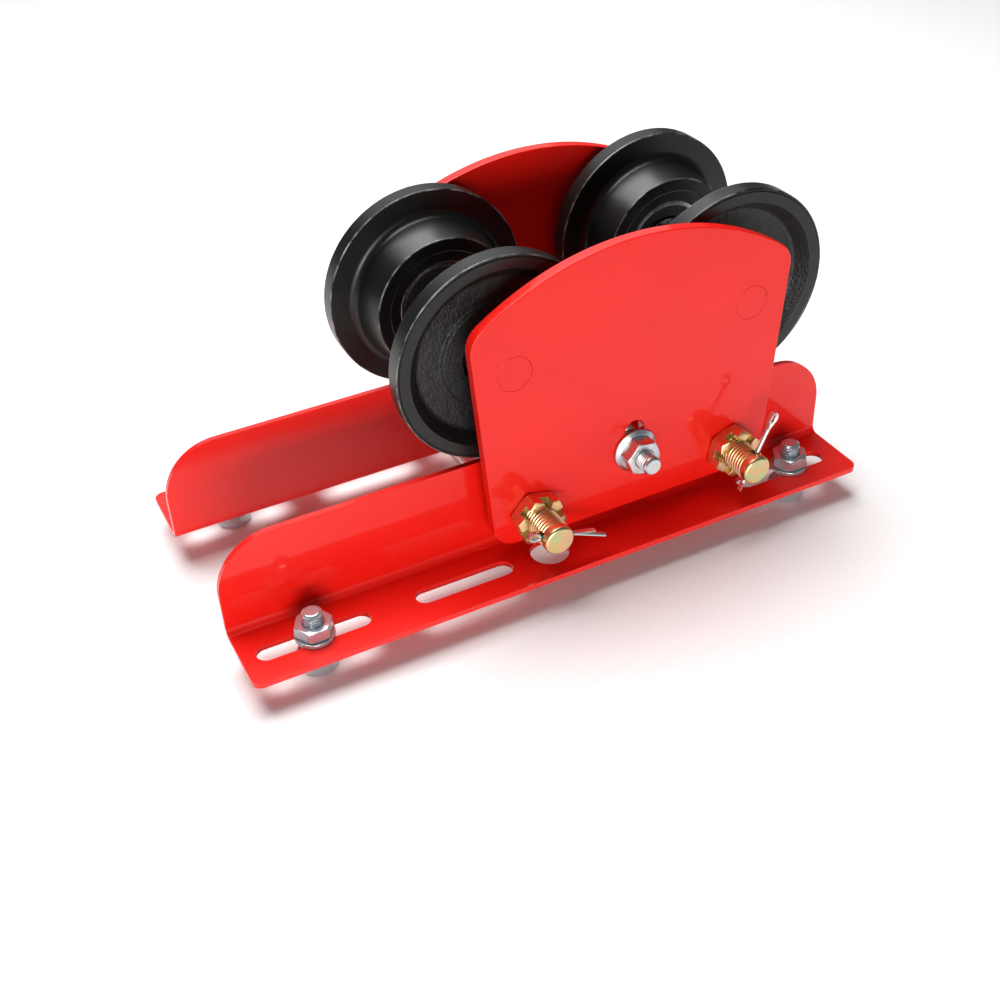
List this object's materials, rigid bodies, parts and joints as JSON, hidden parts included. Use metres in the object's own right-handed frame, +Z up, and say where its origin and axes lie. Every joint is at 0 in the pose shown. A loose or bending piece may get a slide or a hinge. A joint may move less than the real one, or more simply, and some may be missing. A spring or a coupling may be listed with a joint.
{
  "type": "beam trolley",
  "caption": "Push beam trolley: two side plates with flanged wheels on an I-beam, and slotted angle brackets below that carry a hoist.",
  "frame": {"origin": "bottom centre of the whole part's box, under the hoist bolts' heads", "axes": "+X along the beam, towards the brackets' short end, +Y across the beam to the side with the bolt heads, +Z up"},
  "size_m": [0.345, 0.171, 0.1775],
  "materials": {
    "red_paint": "glossy red powder coat on sheet steel",
    "black_iron": "black semi-gloss cast and turned wheel",
    "yellow_zinc": "yellow passivated zinc plate on steel",
    "bright_zinc": "blue-white zinc plate on steel",
    "chrome_fastener": "bright nickel plate on steel",
    "bearing_steel": "ground bearing and spring steel"
  },
  "bodies": {
    "trolley_frame": {"angle_bracket_front": "red_paint", "angle_bracket_rear": "red_paint", "bearing_inner_ring_front_left": "bearing_steel", "bearing_inner_ring_front_right": "bearing_steel", "bearing_inner_ring_rear_left": "bearing_steel", "bearing_inner_ring_rear_right": "bearing_steel", "castle_nut_left": "yellow_zinc", "castle_nut_right": "yellow_zinc", "centre_bolt": "bright_zinc", "centre_nut": "bright_zinc", "centre_spacer_collar_front": "bright_zinc", "centre_spacer_collar_rear": "bright_zinc", "centre_spacer_tube": "bright_zinc", "circlip_front_left": "bearing_steel", "circlip_front_right": "bearing_steel", "circlip_rear_left": "bearing_steel", "circlip_rear_right": "bearing_steel", "cotter_pin_left": "bright_zinc", "cotter_pin_right": "bright_zinc", "head_washer_left": "yellow_zinc", "head_washer_right": "yellow_zinc", "load_bolt_left": "yellow_zinc", "load_bolt_right": "yellow_zinc", "side_plate_front": "red_paint", "side_plate_rear": "red_paint", "spacer_collar_front_left": "bright_zinc", "spacer_collar_front_right": "bright_zinc", "spacer_collar_rear_left": "bright_zinc", "spacer_collar_rear_right": "bright_zinc", "spacer_tube_left": "bright_zinc", "spacer_tube_right": "bright_zinc", "wheel_stud_front_left": "bright_zinc", "wheel_stud_front_right": "bright_zinc", "wheel_stud_rear_left": "bright_zinc", "wheel_stud_rear_right": "bright_zinc"},
    "wheel_front_left_body": {"wheel_front_left": "black_iron", "bearing_outer_ring_front_left": "bearing_steel"},
    "wheel_front_right_body": {"wheel_front_right": "black_iron", "bearing_outer_ring_front_right": "bearing_steel"},
    "wheel_rear_left_body": {"wheel_rear_left": "black_iron", "bearing_outer_ring_rear_left": "bearing_steel"},
    "wheel_rear_right_body": {"wheel_rear_right": "black_iron", "bearing_outer_ring_rear_right": "bearing_steel"},
    "hoist_bolt_front_left_body": {"hoist_bolt_front_left": "chrome_fastener", "hoist_lower_washer_front_left": "chrome_fastener", "hoist_upper_washer_front_left": "chrome_fastener", "hoist_nut_front_left": "chrome_fastener"},
    "hoist_bolt_front_right_body": {"hoist_bolt_front_right": "chrome_fastener", "hoist_lower_washer_front_right": "chrome_fastener", "hoist_upper_washer_front_right": "chrome_fastener", "hoist_nut_front_right": "chrome_fastener"},
    "hoist_bolt_rear_left_body": {"hoist_bolt_rear_left": "chrome_fastener", "hoist_lower_washer_rear_left": "chrome_fastener", "hoist_upper_washer_rear_left": "chrome_fastener", "hoist_nut_rear_left": "chrome_fastener"},
    "hoist_bolt_rear_right_body": {"hoist_bolt_rear_right": "chrome_fastener", "hoist_lower_washer_rear_right": "chrome_fastener", "hoist_upper_washer_rear_right": "chrome_fastener", "hoist_nut_rear_right": "chrome_fastener"}
  },
  "joints": [
    {"name": "wheel_front_left_spin", "type": "hinge", "parent": "trolley_frame", "child": "wheel_front_left_body", "pos_m": [-0.02205, -0.0285, 0.1245], "axis": [0, 1, 0], "continuous": true},
    {"name": "wheel_front_right_spin", "type": "hinge", "parent": "trolley_frame", "child": "wheel_front_right_body", "pos_m": [0.10995, -0.0285, 0.1245], "axis": [0, 1, 0], "continuous": true},
    {"name": "wheel_rear_left_spin", "type": "hinge", "parent": "trolley_frame", "child": "wheel_rear_left_body", "pos_m": [-0.02205, 0.0315, 0.1245], "axis": [0, 1, 0], "continuous": true},
    {"name": "wheel_rear_right_spin", "type": "hinge", "parent": "trolley_frame", "child": "wheel_rear_right_body", "pos_m": [0.10995, 0.0315, 0.1245], "axis": [0, 1, 0], "continuous": true},
    {"name": "hoist_bolt_front_left_slide", "type": "slide", "parent": "trolley_frame", "child": "hoist_bolt_front_left_body", "axis": [1, 0, 0], "range_m": [-0.0235, 0.0225]},
    {"name": "hoist_bolt_front_right_slide", "type": "slide", "parent": "trolley_frame", "child": "hoist_bolt_front_right_body", "axis": [1, 0, 0], "range_m": [-0.0135, 0.0162]},
    {"name": "hoist_bolt_rear_left_slide", "type": "slide", "parent": "trolley_frame", "child": "hoist_bolt_rear_left_body", "axis": [1, 0, 0], "range_m": [-0.0235, 0.0225]},
    {"name": "hoist_bolt_rear_right_slide", "type": "slide", "parent": "trolley_frame", "child": "hoist_bolt_rear_right_body", "axis": [1, 0, 0], "range_m": [-0.0135, 0.0162]}
  ]
}
